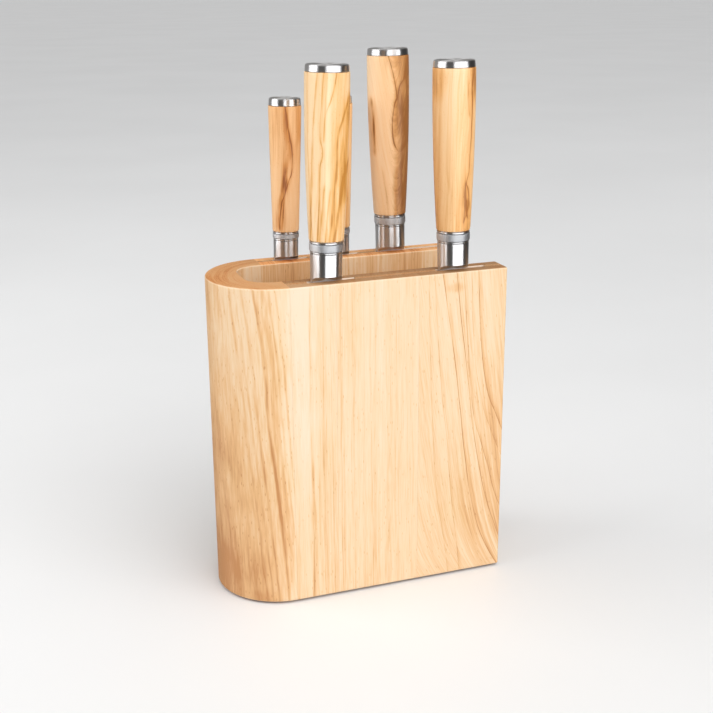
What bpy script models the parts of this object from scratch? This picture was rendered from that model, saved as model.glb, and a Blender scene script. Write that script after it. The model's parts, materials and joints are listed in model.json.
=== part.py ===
"""Wooden knife block with five knives.

The block is a U in plan: a solid curved end piece, and two straight walls that leave a well between
them, open at the top and at the right-hand end. Each wall is laminated: outer staves, thin spacer
strips that leave the blade slots between them, and one inner panel. Each knife hangs in its slot by
its bolster and draws out along its own length. Metres, +Z up, origin on the table under the centre.
"""
import math

import bmesh
import bpy
from mathutils import Vector

MM = 0.001

# ---- the block: driving dimensions
LENGTH = 203 * MM
DEPTH = 90 * MM
TOP_Z = 230 * MM
WALL = 20 * MM
SLOT_WIDTH = 3.9 * MM
JOINT_GAP = 0.3 * MM
FOOT_HEIGHT = 1.5 * MM
FOOT_RADIUS = 7 * MM
FOOT_SEGMENTS = 20
FLOOR_THICKNESS = 12 * MM
RAIL_HEIGHT = 20 * MM
WELL_END_WALL = 24 * MM
WELL_CORNER_RADIUS = 16 * MM
OUTER_ARC_STEPS = 28
WELL_ARC_STEPS = 7

BODY_Z = FOOT_HEIGHT + JOINT_GAP
HALF_LENGTH = LENGTH / 2
HALF_DEPTH = DEPTH / 2
SEAM_X = HALF_DEPTH - HALF_LENGTH
WELL_HALF_WIDTH = HALF_DEPTH - WALL
WELL_END_X = WELL_END_WALL - HALF_LENGTH
SLOT_Y = HALF_DEPTH - WALL / 2
PANEL_THICKNESS = (WALL - SLOT_WIDTH) / 2

FRONT_STAVE_SEAMS = (-25 * MM, 35 * MM)
BACK_STAVE_SEAMS = (-6 * MM, 48 * MM)

FEET = {
    "foot_front_left": (-64 * MM, -33 * MM),
    "foot_front_right": (88 * MM, -35 * MM),
    "foot_back_left": (-64 * MM, 33 * MM),
    "foot_back_right": (88 * MM, 35 * MM),
}

# ---- slots along each wall, from the spine side to the edge side of its blade
FRONT_SLOTS = ((-41.8 * MM, -7.7 * MM), (51.4 * MM, 88.5 * MM))
BACK_SLOTS = ((-45.0 * MM, -18.8 * MM), (-7.2 * MM, 19.9 * MM), (33.5 * MM, 84.0 * MM))

# ---- knives: heights are above the block's top, along the knife
RING_SEGMENTS = 28
SMOOTH_ANGLE = math.radians(35)
SMALL_BEVEL = 0.4 * MM

# the blade: its stations crowd towards the tip by the crowding power
BLADE_STATIONS = 14
STATION_CROWDING = 1.4
SPINE_INSET = 1.2 * MM
NECK_LENGTH = 5 * MM
HEEL_LENGTH = 4 * MM
HEEL_Z = -(NECK_LENGTH + HEEL_LENGTH)
EDGE_THICKNESS = 0.25 * MM
TIP_WIDTH = 0.8 * MM
TIP_THINNING = 6 * MM
BEVEL_SHARE_LIMIT = 0.6
TOOTH_DEPTH = 0.8 * MM
TOOTHED_SHARE = 0.97
STATIONS_PER_TOOTH = 2

# the tang, the bore it runs in, and the cap's stub in the top of the handle
TANG_HALF_WIDTH = 4 * MM
TANG_SHOULDER = 3 * MM
TANG_CLEARANCE = 1 * MM
TANG_EASING = 0.8
TANG_BORE = (5.2 * MM, 2.2 * MM)
CAP_STUB_RADIUS = 5 * MM
CAP_STUB_DEPTH = 3 * MM
CAP_CLEARANCE = 0.25 * MM

# the bolster, the handle and the cap above them
SCOOP_RINGS = 4
SCOOP_MARGIN = 0.3 * MM
COLLAR_INSET = 0.2 * MM
HANDLE_RINGS = 8
CAP_INSET = 0.3 * MM
CAP_RIM_HEIGHT = 0.6 * MM
CAP_RIM_WIDTH = 0.6 * MM

LARGE = {
    "bolster_radius": 10.8 * MM,
    "bolster_foot_radius": 10.6 * MM,
    "bolster_top": 19.3 * MM,
    "scoop_height": 4.5 * MM,
    "lower_ring_radius": 11.0 * MM,
    "lower_ring_height": 1.1 * MM,
    "collar_radius": 11.4 * MM,
    "collar_height": 4.9 * MM,
    "upper_ring_radius": 11.25 * MM,
    "upper_ring_height": 1.5 * MM,
    "handle_radii": (11.65 * MM, 14.7 * MM),
    "handle_length": 107.8 * MM,
    "widest_at": 0.87,
    "taper_power": 1.9,
    "cap_height": 4.3 * MM,
    "blade_thickness": 2.2 * MM,
    "tang_length": 80 * MM,
}
SMALL = {
    "bolster_radius": 8.85 * MM,
    "bolster_foot_radius": 8.7 * MM,
    "bolster_top": 14.7 * MM,
    "scoop_height": 3.6 * MM,
    "lower_ring_radius": 9.0 * MM,
    "lower_ring_height": 1.1 * MM,
    "collar_radius": 9.3 * MM,
    "collar_height": 2.9 * MM,
    "upper_ring_radius": 9.1 * MM,
    "upper_ring_height": 1.3 * MM,
    "handle_radii": (9.4 * MM, 11.5 * MM),
    "handle_length": 87.2 * MM,
    "widest_at": 1.0,
    "taper_power": 1.1,
    "cap_height": 4.8 * MM,
    "blade_thickness": 1.6 * MM,
    "tang_length": 65 * MM,
}
# x is where the knife's own axis crosses the block's top; lean is towards +X at the handle's end.
# spine_run is where the spine starts to drop to the tip, tip_drop how far it drops, belly how late
# the cutting edge curves up, teeth how many scallops the edge has.
KNIVES = {
    "carving": dict(LARGE, x=-28.3 * MM, side=-1, lean=1.15, blade_length=200 * MM, blade_width=28 * MM,
                    spine_run=0.72, tip_drop=9 * MM, belly=5.0, bevel=9 * MM, teeth=0),
    "bread": dict(LARGE, x=64.05 * MM, side=-1, lean=-0.68, blade_length=200 * MM, blade_width=30 * MM,
                  spine_run=0.90, tip_drop=9 * MM, belly=16.0, bevel=8 * MM, teeth=22,
                  handle_radii=(11.6 * MM, 14.4 * MM)),
    "chef": dict(LARGE, x=45.15 * MM, side=1, lean=-0.88, blade_length=200 * MM, blade_width=45 * MM,
                 spine_run=0.50, tip_drop=15 * MM, belly=2.8, bevel=14 * MM, teeth=0,
                 handle_length=112.1 * MM, handle_radii=(11.6 * MM, 14.85 * MM)),
    "utility": dict(SMALL, x=3.75 * MM, side=1, lean=0.25, blade_length=125 * MM, blade_width=22.5 * MM,
                    spine_run=0.65, tip_drop=7 * MM, belly=3.6, bevel=7 * MM, teeth=0),
    "paring": dict(SMALL, x=-35.0 * MM, side=1, lean=0.95, blade_length=90 * MM, blade_width=20.5 * MM,
                   spine_run=0.55, tip_drop=6 * MM, belly=2.6, bevel=6.5 * MM, teeth=0),
}

# ---- finishes: colour, roughness, metallic
RUBBERWOOD = ((0.80, 0.58, 0.34), 0.45, 0.0)
OLIVE_WOOD = ((0.66, 0.39, 0.19), 0.35, 0.0)
POLISHED_STEEL = ((0.72, 0.72, 0.73), 0.10, 1.0)
SATIN_STEEL = ((0.62, 0.64, 0.66), 0.35, 1.0)
BLACK_RUBBER = ((0.02, 0.02, 0.02), 0.80, 0.0)


def clear_scene():
    for obj in list(bpy.data.objects):
        bpy.data.objects.remove(obj, do_unlink=True)


def finish_material(name, finish):
    colour, roughness, metallic = finish
    material = bpy.data.materials.new(name + "_finish")
    material.use_nodes = True
    shader = material.node_tree.nodes["Principled BSDF"]
    shader.inputs["Base Color"].default_value = (*colour, 1.0)
    shader.inputs["Roughness"].default_value = roughness
    shader.inputs["Metallic"].default_value = metallic
    material.diffuse_color = (*colour, 1.0)
    return material


def add_object(name, bm, finish, parent=None, smooth=False):
    bmesh.ops.recalc_face_normals(bm, faces=bm.faces)
    mesh = bpy.data.meshes.new(name)
    bm.to_mesh(mesh)
    bm.free()
    if smooth:
        mesh.shade_smooth()
        mesh.set_sharp_from_angle(angle=SMOOTH_ANGLE)
    obj = bpy.data.objects.new(name, mesh)
    bpy.context.collection.objects.link(obj)
    if finish:
        mesh.materials.append(finish_material(name, finish))
    obj.parent = parent
    return obj


def skin(bm, rows, closed=False):
    """Quads between neighbouring rows of vertices; a closed skin also joins the last row to the first."""
    count = len(rows[0])
    following = rows[1:] + rows[:1] if closed else rows[1:]
    for lower, upper in zip(rows, following):
        for i in range(count):
            j = (i + 1) % count
            bm.faces.new((lower[i], lower[j], upper[j], upper[i]))


def loft(rings):
    """A closed body through rings of equal length, with its first and last ring filled."""
    bm = bmesh.new()
    rows = [[bm.verts.new(point) for point in ring] for ring in rings]
    skin(bm, rows)
    bm.faces.new(rows[0][::-1])
    bm.faces.new(rows[-1])
    return bm


def tube(rings):
    """A closed body whose surface runs through the rings and back to the first, with a hole through it."""
    bm = bmesh.new()
    skin(bm, [[bm.verts.new(point) for point in ring] for ring in rings], closed=True)
    return bm


def prism(name, outline, z0, z1, finish):
    """An upright solid on a plan outline."""
    rings = [[Vector((x, y, z)) for x, y in outline] for z in (z0, z1)]
    return add_object(name, loft(rings), finish)


def board(name, x_range, y_range, z_range, finish):
    (x0, x1), (y0, y1) = x_range, y_range
    return prism(name, [(x0, y0), (x1, y0), (x1, y1), (x0, y1)], *z_range, finish)


def arc(centre, radius, start, end, steps):
    """Points on an arc, angles in degrees, both ends included."""
    angles = [math.radians(start + (end - start) * i / steps) for i in range(steps + 1)]
    return [(centre[0] + radius * math.cos(a), centre[1] + radius * math.sin(a)) for a in angles]


def well_end_outline(inset):
    """The rounded left end of the well, from its back corner round to its front corner."""
    radius = WELL_CORNER_RADIUS - inset
    corner_x = WELL_END_X + WELL_CORNER_RADIUS
    corner_y = WELL_HALF_WIDTH - WELL_CORNER_RADIUS
    back = arc((corner_x, corner_y), radius, 90, 180, WELL_ARC_STEPS)
    front = arc((corner_x, -corner_y), radius, 180, 270, WELL_ARC_STEPS)
    return back + front


def build_end_block():
    """Curved end: a half-round outside, with the well's rounded end cut through it from top to bottom."""
    seam = SEAM_X - JOINT_GAP / 2
    outside = arc((SEAM_X, 0), HALF_DEPTH, 90, 270, OUTER_ARC_STEPS)[1:-1]
    outline = [(seam, HALF_DEPTH)] + [point for point in outside if point[0] < seam - MM]
    outline += [(seam, -HALF_DEPTH), (seam, -WELL_HALF_WIDTH)]
    outline += well_end_outline(0.0)[::-1]
    outline += [(seam, WELL_HALF_WIDTH)]
    return prism("end_block", outline, BODY_Z, TOP_Z, RUBBERWOOD)


def spans_between(cuts, start, end):
    """The stretches of start..end that lie between the given (low, high) cuts."""
    lows = [start] + [high for low, high in cuts]
    highs = [low for low, high in cuts] + [end]
    return list(zip(lows, highs))


def build_wall(prefix, side, stave_seams, slots):
    """One straight wall: outer staves, spacer strips between the slots, a rail under them, a panel."""
    start = SEAM_X + JOINT_GAP / 2
    outer = sorted((side * HALF_DEPTH, side * (HALF_DEPTH - PANEL_THICKNESS)))
    inner = sorted((side * WELL_HALF_WIDTH, side * (WELL_HALF_WIDTH + PANEL_THICKNESS)))
    strip_half = SLOT_WIDTH / 2 - JOINT_GAP
    strip = (side * SLOT_Y - strip_half, side * SLOT_Y + strip_half)
    seams = [(x - JOINT_GAP / 2, x + JOINT_GAP / 2) for x in stave_seams]
    for label, x_range in zip(("left", "middle", "right"), spans_between(seams, start, HALF_LENGTH)):
        board(f"{prefix}_stave_{label}", x_range, outer, (BODY_Z, TOP_Z), RUBBERWOOD)
    board(f"{prefix}_inner_panel", (start, HALF_LENGTH), inner, (BODY_Z, TOP_Z), RUBBERWOOD)
    rail_top = BODY_Z + RAIL_HEIGHT
    board(f"{prefix}_slot_rail", (start, HALF_LENGTH), strip, (BODY_Z, rail_top), RUBBERWOOD)
    for number, x_range in enumerate(spans_between(slots, start, HALF_LENGTH), 1):
        board(f"{prefix}_spacer_{number}", x_range, strip, (rail_top + JOINT_GAP, TOP_Z), RUBBERWOOD)


def build_floor_panel():
    half = WELL_HALF_WIDTH - JOINT_GAP
    outline = well_end_outline(JOINT_GAP) + [(HALF_LENGTH, -half), (HALF_LENGTH, half)]
    return prism("floor_panel", outline, BODY_Z, BODY_Z + FLOOR_THICKNESS, RUBBERWOOD)


def build_feet():
    for name, place in FEET.items():
        outline = arc(place, FOOT_RADIUS, 0, 360, FOOT_SEGMENTS)[:-1]
        prism(name, outline, 0.0, FOOT_HEIGHT, BLACK_RUBBER)


def ring(radius, z, depth=None, limit=None):
    """A round or oval ring about the knife's axis; limit flattens it front and back to that half depth."""
    depth = radius if depth is None else depth
    points = []
    for i in range(RING_SEGMENTS):
        angle = math.tau * i / RING_SEGMENTS
        y = depth * math.sin(angle)
        if limit is not None:
            y = max(-limit, min(limit, y))
        points.append(Vector((radius * math.cos(angle), y, z)))
    return points


def bore_ring(z):
    """The outline, at a height, of the bore that the tang runs in."""
    return ring(TANG_BORE[0], z, TANG_BORE[1])


def sleeve(name, outer_rings, finish, parent):
    """A turned ring with the tang's bore right through it."""
    bottom, top = outer_rings[0][0].z, outer_rings[-1][0].z
    bm = tube([bore_ring(bottom)] + outer_rings + [bore_ring(top)])
    return add_object(name, bm, finish, parent, smooth=True)


def handle_radius(knife, share):
    """The handle swells from the collar to its widest place, then draws in to the cap."""
    bottom, widest = knife["handle_radii"]
    reach = abs(1 - share / knife["widest_at"]) ** knife["taper_power"]
    return bottom + (widest - bottom) * (1 - reach)


def blade_edges(knife, z):
    """The spine's and the cutting edge's x at a height below the bolster."""
    spine = SPINE_INSET - knife["bolster_foot_radius"]
    tip = spine + knife["tip_drop"]
    heel = spine + knife["blade_width"]
    share = min(1.0, (HEEL_Z - z) / (knife["blade_length"] + HEEL_Z))
    drop = max(0.0, share - knife["spine_run"]) / (1 - knife["spine_run"])
    edge = tip + (heel - tip) * (1 - share ** knife["belly"])
    if share < TOOTHED_SHARE:
        edge -= TOOTH_DEPTH * abs(math.sin(math.pi * knife["teeth"] * share))
    return spine + (tip - spine) * drop ** 2, edge


def blade_section(spine, bevel_start, edge, z, half, edge_half):
    outline = [(spine, half), (bevel_start, half), (edge, edge_half)]
    return [Vector((x, y, z)) for x, y in outline] + [Vector((x, -y, z)) for x, y in outline[::-1]]


def blade_rings(knife):
    """Sections of the flat steel, from the tang's end down through the neck and the heel to the tip."""
    half = knife["blade_thickness"] / 2
    eased = half * TANG_EASING
    neck = knife["bolster_foot_radius"] - SPINE_INSET
    tang_top = knife["bolster_top"] + knife["tang_length"]
    shoulder = knife["scoop_height"] + TANG_SHOULDER
    rings = [
        blade_section(-TANG_HALF_WIDTH, 0, TANG_HALF_WIDTH, tang_top, half, eased),
        blade_section(-TANG_HALF_WIDTH, 0, TANG_HALF_WIDTH, shoulder, half, eased),
        blade_section(-neck, 0, neck, shoulder - MM, half, eased),
        blade_section(-neck, neck / 2, neck, -NECK_LENGTH, half, eased),
    ]
    steps = STATIONS_PER_TOOTH * knife["teeth"] or BLADE_STATIONS
    crowding = 1 if knife["teeth"] else STATION_CROWDING
    for i in range(steps + 1):
        share = 1 - (1 - i / steps) ** crowding
        z = HEEL_Z - share * (knife["blade_length"] + HEEL_Z)
        spine, edge = blade_edges(knife, z)
        edge = max(edge, spine + TIP_WIDTH)
        width = edge - spine
        bevel_start = edge - min(knife["bevel"], BEVEL_SHARE_LIMIT * width)
        thinned = half * min(1.0, width / TIP_THINNING)
        rings.append(blade_section(spine, bevel_start, edge, z, thinned, EDGE_THICKNESS / 2))
    return rings


def bolster_rings(knife):
    """Round steel above, scooped away front and back to just more than the blade's thickness below."""
    foot, radius = knife["bolster_foot_radius"], knife["bolster_radius"]
    foot_half = knife["blade_thickness"] / 2 + SCOOP_MARGIN
    top = knife["bolster_top"]
    rings = []
    for i in range(SCOOP_RINGS + 1):
        angle = math.pi / 2 * i / SCOOP_RINGS
        limit = foot_half + (foot - foot_half) * (1 - math.cos(angle))
        rings.append(ring(foot, knife["scoop_height"] * math.sin(angle), limit=limit))
    rings.append(ring(radius, top - SMALL_BEVEL))
    rings.append(ring(radius - SMALL_BEVEL, top))
    return rings


def build_blade(name, knife, parent):
    """Tang, bolster and blade are one forged piece: the flat steel joined to the turned bolster."""
    blade = add_object(name + "_blade", loft(blade_rings(knife)[::-1]), SATIN_STEEL, parent, smooth=True)
    bolster = add_object(name + "_bolster_form", loft(bolster_rings(knife)), None, parent)
    bolster.hide_render = True
    bolster.display_type = "WIRE"
    join = blade.modifiers.new("bolster", "BOOLEAN")
    join.operation = "UNION"
    join.object = bolster
    return knife["bolster_top"]


def build_ring(label, name, knife, z, parent):
    """A thin polished ring: the lower one is under the collar, the upper one over it."""
    radius, top = knife[f"{label}_ring_radius"], z + knife[f"{label}_ring_height"]
    sleeve(f"{name}_{label}_ring", [ring(radius, z), ring(radius, top)], POLISHED_STEEL, parent)
    return top


def build_collar(name, knife, z, parent):
    radius, top = knife["collar_radius"], z + knife["collar_height"]
    rings = [ring(radius - COLLAR_INSET, z), ring(radius, z + SMALL_BEVEL), ring(radius, top)]
    sleeve(name + "_collar", rings, SATIN_STEEL, parent)
    return top


def build_handle(name, knife, z, parent):
    """Turned wood with the tang's blind bore in its foot and a pocket for the cap's stub in its top."""
    length = knife["handle_length"]
    shares = [i / HANDLE_RINGS for i in range(HANDLE_RINGS + 1)]
    outside = [ring(handle_radius(knife, share), z + length * share) for share in shares]
    bore_top = knife["bolster_top"] + knife["tang_length"] + TANG_CLEARANCE
    pocket_radius = CAP_STUB_RADIUS + CAP_CLEARANCE
    pocket_bottom = z + length - CAP_STUB_DEPTH - CAP_CLEARANCE
    pocket = [ring(pocket_radius, z + length), ring(pocket_radius, pocket_bottom)]
    bm = loft([bore_ring(bore_top), bore_ring(z)] + outside + pocket)
    add_object(name + "_handle", bm, OLIVE_WOOD, parent, smooth=True)
    return z + length


def build_end_cap(name, knife, z, parent):
    base = handle_radius(knife, 1.0) - CAP_INSET
    rim = base - CAP_INSET
    top = z + knife["cap_height"]
    rings = [
        ring(CAP_STUB_RADIUS, z - CAP_STUB_DEPTH),
        ring(CAP_STUB_RADIUS, z),
        ring(base, z),
        ring(rim, top - CAP_RIM_HEIGHT),
        ring(rim - CAP_RIM_WIDTH, top),
    ]
    add_object(name + "_end_cap", loft(rings), POLISHED_STEEL, parent, smooth=True)


def build_knife(name, knife):
    """The knife's pieces, stacked up its own axis from an empty where that axis meets the block's top."""
    empty = bpy.data.objects.new(name + "_knife", None)
    empty.location = (knife["x"], knife["side"] * SLOT_Y, TOP_Z)
    empty.rotation_euler = (0.0, math.radians(knife["lean"]), 0.0)
    bpy.context.collection.objects.link(empty)
    z = build_blade(name, knife, empty)
    z = build_ring("lower", name, knife, z + JOINT_GAP, empty)
    z = build_collar(name, knife, z + JOINT_GAP, empty)
    z = build_ring("upper", name, knife, z + JOINT_GAP, empty)
    z = build_handle(name, knife, z + JOINT_GAP, empty)
    build_end_cap(name, knife, z + JOINT_GAP, empty)


clear_scene()
build_end_block()
build_wall("front", -1, FRONT_STAVE_SEAMS, FRONT_SLOTS)
build_wall("back", 1, BACK_STAVE_SEAMS, BACK_SLOTS)
build_floor_panel()
build_feet()
for knife_name, knife_sizes in KNIVES.items():
    build_knife(knife_name, knife_sizes)
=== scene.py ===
import json
import math
import random
from collections import namedtuple

import bmesh
import bpy
from mathutils import Matrix, Vector


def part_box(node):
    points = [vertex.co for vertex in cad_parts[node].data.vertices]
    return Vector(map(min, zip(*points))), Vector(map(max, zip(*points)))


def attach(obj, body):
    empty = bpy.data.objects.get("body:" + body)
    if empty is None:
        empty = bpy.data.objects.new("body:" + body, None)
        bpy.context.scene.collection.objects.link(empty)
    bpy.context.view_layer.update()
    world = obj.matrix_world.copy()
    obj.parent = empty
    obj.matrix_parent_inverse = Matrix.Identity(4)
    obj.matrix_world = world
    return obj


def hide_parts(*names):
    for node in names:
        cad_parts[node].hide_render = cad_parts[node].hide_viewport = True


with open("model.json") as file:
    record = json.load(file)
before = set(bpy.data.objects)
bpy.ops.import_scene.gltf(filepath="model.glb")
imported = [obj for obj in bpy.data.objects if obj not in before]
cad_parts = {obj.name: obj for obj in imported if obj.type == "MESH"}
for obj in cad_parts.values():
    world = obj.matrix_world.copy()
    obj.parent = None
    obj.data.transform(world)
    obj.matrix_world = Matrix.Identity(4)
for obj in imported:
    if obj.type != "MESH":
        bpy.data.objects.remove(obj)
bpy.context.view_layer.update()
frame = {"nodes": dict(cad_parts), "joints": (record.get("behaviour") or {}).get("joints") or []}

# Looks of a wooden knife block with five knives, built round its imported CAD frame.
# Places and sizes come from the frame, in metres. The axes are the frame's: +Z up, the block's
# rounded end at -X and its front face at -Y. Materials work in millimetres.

MM = 0.001

# ---- the block, read from the frame
END_LOW, END_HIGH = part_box("end_block")
BLOCK_LOW = Vector((END_LOW.x, END_LOW.y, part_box("foot_front_left")[1].z))
BLOCK_HIGH = Vector((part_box("front_inner_panel")[1].x, END_HIGH.y, END_HIGH.z))
TOP = BLOCK_HIGH.z
BLOCK_HEIGHT = TOP - BLOCK_LOW.z
HALF_DEPTH = BLOCK_HIGH.y
SEAM_X = BLOCK_LOW.x + HALF_DEPTH
WELL_HALF_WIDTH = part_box("back_inner_panel")[0].y
SLOT_Y = (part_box("back_spacer_1")[0].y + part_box("back_spacer_1")[1].y) / 2
WELL_END_WALL = 24 * MM
WELL_CORNER_RADIUS = 16 * MM

# ---- joints and edges of the block
CAD_GAP = 0.3 * MM
GLUE_LINE = 0.07 * MM
EDGE_RADIUS = 1.2 * MM
EDGE_STEPS = 5
CORNER_RADIUS = 1.8 * MM
CORNER_STEPS = 6
OUTER_ARC_STEPS = 72
WELL_ARC_STEPS = 16
SHARP_ANGLE = math.radians(38)

# ---- the knives
TURNED_STEPS = 96
HANDLE_RINGS = 40
BORE_RADIUS = 4.7 * MM

# ---- the view: where the photographer stood
VIEW_AZIMUTH = math.radians(-19.887)
VIEW_ELEVATION = math.radians(17.853)
VIEW_ROLL = math.radians(-0.401)
VIEW_DISTANCE = 865.1 * MM
VIEW_TARGET = Vector((9.63, 11.45, 158.59)) * MM
SENSOR = 36.0
LENS = 59.88


# ======== meshes
def new_object(name, data):
    made = bpy.data.objects.new(name, data)
    bpy.context.scene.collection.objects.link(made)
    return made


def mesh_object(name, bm):
    """An object with the bmesh's faces, turned to face out."""
    bmesh.ops.recalc_face_normals(bm, faces=bm.faces)
    mesh = bpy.data.meshes.new(name)
    bm.to_mesh(mesh)
    bm.free()
    return new_object(name, mesh)


def finish_mesh(name, bm, material, node, body="block", matrix=None):
    """Turns a bmesh into a shaded piece that stands for a CAD node and rides on its body."""
    piece = mesh_object(name, bm)
    piece.data.shade_smooth()
    piece.data.set_sharp_from_angle(angle=SHARP_ANGLE)
    piece.data.materials.append(material)
    if matrix is not None:
        piece.matrix_world = matrix
    even = piece.modifiers.new("even_shading", "WEIGHTED_NORMAL")
    even.keep_sharp = True
    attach(piece, body)
    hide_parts(node)
    return piece


def skin(bm, rows, closed=False):
    """Quads between neighbouring rows of vertices; a closed skin also joins the last row to the first."""
    following = rows[1:] + rows[:1] if closed else rows[1:]
    for lower, upper in zip(rows, following):
        count = max(len(lower), len(upper))
        for i in range(count):
            j = (i + 1) % count
            if len(lower) == 1:
                bm.faces.new((lower[0], upper[j], upper[i]))
            elif len(upper) == 1:
                bm.faces.new((lower[i], lower[j], upper[0]))
            else:
                bm.faces.new((lower[i], lower[j], upper[j], upper[i]))


def solid_skin(bm, rows):
    """A skin with its first and last rows closed."""
    skin(bm, rows)
    bm.faces.new(rows[0][::-1])
    bm.faces.new(rows[-1])


def arc_directions(start, end, steps):
    """Unit vectors in plan, angles in degrees, both ends included."""
    angles = [math.radians(start + (end - start) * i / steps) for i in range(steps + 1)]
    return [Vector((math.cos(a), math.sin(a))) for a in angles]


def rounded_prism(plan, low, high, edge=EDGE_RADIUS):
    """An upright solid on a plan of (point, inward) pairs; its ends draw in along inward, as round edges."""
    turns = [math.pi / 2 * i / EDGE_STEPS for i in range(EDGE_STEPS + 1)]
    levels = [(low + edge * (1 - math.sin(a)), edge * (1 - math.cos(a))) for a in reversed(turns)]
    levels += [(high - edge * (1 - math.sin(a)), edge * (1 - math.cos(a))) for a in turns]
    bm = bmesh.new()
    rows = []
    for z, inset in levels:
        points = [point + inward * inset for point, inward in plan]
        rows.append([bm.verts.new((p.x, p.y, z)) for p in points])
    solid_skin(bm, rows)
    return bm


SIDES = ("front", "right", "back", "left")
INWARD = (Vector((0, 1)), Vector((-1, 0)), Vector((0, -1)), Vector((1, 0)))


def board_plan(x0, x1, y0, y1, bare):
    """Plan of a straight board. Its bare sides have rounded edges; a corner of two bare sides is an arc."""
    corners = (Vector((x1, y0)), Vector((x1, y1)), Vector((x0, y1)), Vector((x0, y0)))
    plan = []
    for i, corner in enumerate(corners):
        j = (i + 1) % 4
        showing = [INWARD[k] for k in (i, j) if SIDES[k] in bare]
        if len(showing) < 2:
            plan.append((corner, sum(showing, Vector((0, 0)))))
            continue
        centre = corner + (INWARD[i] + INWARD[j]) * CORNER_RADIUS
        for way in arc_directions(90 * i - 90, 90 * i, CORNER_STEPS):
            plan.append((centre + way * CORNER_RADIUS, -way))
    return plan


def board(node, material, bare, grow):
    """A board in the place of a CAD board, grown at its glued sides until only a glue line is left."""
    low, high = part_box(node)
    grown = {side: grow.get(side, 0.0) for side in SIDES}
    plan = board_plan(
        low.x - grown["left"], high.x + grown["right"], low.y - grown["front"], high.y + grown["back"], bare
    )
    bottom = low.z if node.split("_")[1] == "spacer" else BLOCK_LOW.z
    bm = rounded_prism(plan, bottom, high.z)
    return finish_mesh(node + "_board", bm, material, node)


def well_end(inset):
    """The well's rounded left end as (point, outward) pairs, from its back wall round to its front wall."""
    radius = WELL_CORNER_RADIUS - inset
    corner = Vector((BLOCK_LOW.x + WELL_END_WALL + WELL_CORNER_RADIUS, WELL_HALF_WIDTH - WELL_CORNER_RADIUS))
    plan = []
    for start, y in ((90, corner.y), (180, -corner.y)):
        centre = Vector((corner.x, y))
        plan += [(centre + way * radius, way) for way in arc_directions(start, start + 90, WELL_ARC_STEPS)]
    return plan


def end_block(material):
    """The solid half-round end piece, with the well's rounded end cut through it."""
    seam = SEAM_X - GLUE_LINE / 2
    centre = Vector((SEAM_X, 0))
    outside = [(centre + way * HALF_DEPTH, -way) for way in arc_directions(90, 270, OUTER_ARC_STEPS)[1:-1]]
    up = Vector((0, 1))
    plan = [(Vector((seam, HALF_DEPTH)), -up)]
    plan += outside
    plan += [(Vector((seam, -HALF_DEPTH)), up), (Vector((seam, -WELL_HALF_WIDTH)), -up)]
    plan += well_end(0.0)[::-1]
    plan += [(Vector((seam, WELL_HALF_WIDTH)), up)]
    bm = rounded_prism(plan, BLOCK_LOW.z, TOP)
    return finish_mesh("end_block_wood", bm, material, "end_block")


def floor_panel(material):
    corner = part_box("floor_panel")[1]
    half = WELL_HALF_WIDTH - GLUE_LINE
    still = Vector((0, 0))
    left = Vector((-1, 0))
    plan = [(point, still) for point, way in well_end(GLUE_LINE)]
    plan += [(Vector((corner.x, -half)), left), (Vector((corner.x, half)), left)]
    bm = rounded_prism(plan, BLOCK_LOW.z, corner.z)
    return finish_mesh("floor_panel_wood", bm, material, "floor_panel")


# A foot's outline from the middle of its dished underside round its rim to its top, as shares of its
# radius and its height.
PAD_PROFILE = (
    (0.0, 0.25), (0.55, 0.25), (0.65, 0.0), (0.88, 0.0), (0.97, 0.15), (1.0, 0.4), (1.0, 1.0), (0.0, 1.0),
)


def rubber_foot(node, material):
    """A moulded pad with a rounded rim and a dished underside."""
    low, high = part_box(node)
    centre = (low + high) / 2
    radius, height = (high.x - low.x) / 2, high.z - low.z
    bm = turned([(r * radius, z * height) for r, z in PAD_PROFILE])
    place = Matrix.Translation((centre.x, centre.y, low.z))
    return finish_mesh(node + "_pad", bm, material, node, matrix=place)


def turned(profile, closed=False):
    """A turned solid from (radius, height) points. A point on the axis is a pole."""
    bm = bmesh.new()
    angles = [math.tau * i / TURNED_STEPS for i in range(TURNED_STEPS)]
    ways = [Vector((math.cos(a), math.sin(a), 0)) for a in angles]
    rows = []
    for radius, z in profile:
        up = Vector((0, 0, z))
        rows.append([bm.verts.new(up + way * radius) for way in ways] if radius > 0 else [bm.verts.new(up)])
    skin(bm, rows, closed)
    return bm


# ======== materials
LARGEST_SHIFT = 50
SPECK_CORE = 0.55


def math_node(operation):
    """A method of Field whose result is a Math node's."""
    def method(*values):
        return values[0].graph.number("Math", dict(enumerate(values)), operation=operation)
    return method


class Field:
    """A number that varies over a surface. Arithmetic on it adds Math nodes to its material."""

    def __init__(self, graph, socket):
        self.graph = graph
        self.socket = socket

    __add__ = __radd__ = math_node("ADD")
    __sub__ = math_node("SUBTRACT")
    __mul__ = __rmul__ = math_node("MULTIPLY")
    __truediv__ = math_node("DIVIDE")
    __pow__ = math_node("POWER")
    size = math_node("ABSOLUTE")
    root = math_node("SQRT")
    at_most = math_node("MINIMUM")
    at_least = math_node("MAXIMUM")

    def __rsub__(self, other):
        return self.graph.number("Math", {0: other, 1: self}, operation="SUBTRACT")

    def __neg__(self):
        return self * -1.0

    def above(self, low, high):
        """0 below low, 1 above high, smooth between."""
        inputs = {0: self, 1: low, 2: high, 3: 0.0, 4: 1.0}
        return self.graph.number("MapRange", inputs, interpolation_type="SMOOTHSTEP")

    def near(self, width):
        """1 where the number is 0, falling smoothly to 0 at width on both sides."""
        return 1.0 - self.size().above(0.0, width)


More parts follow.
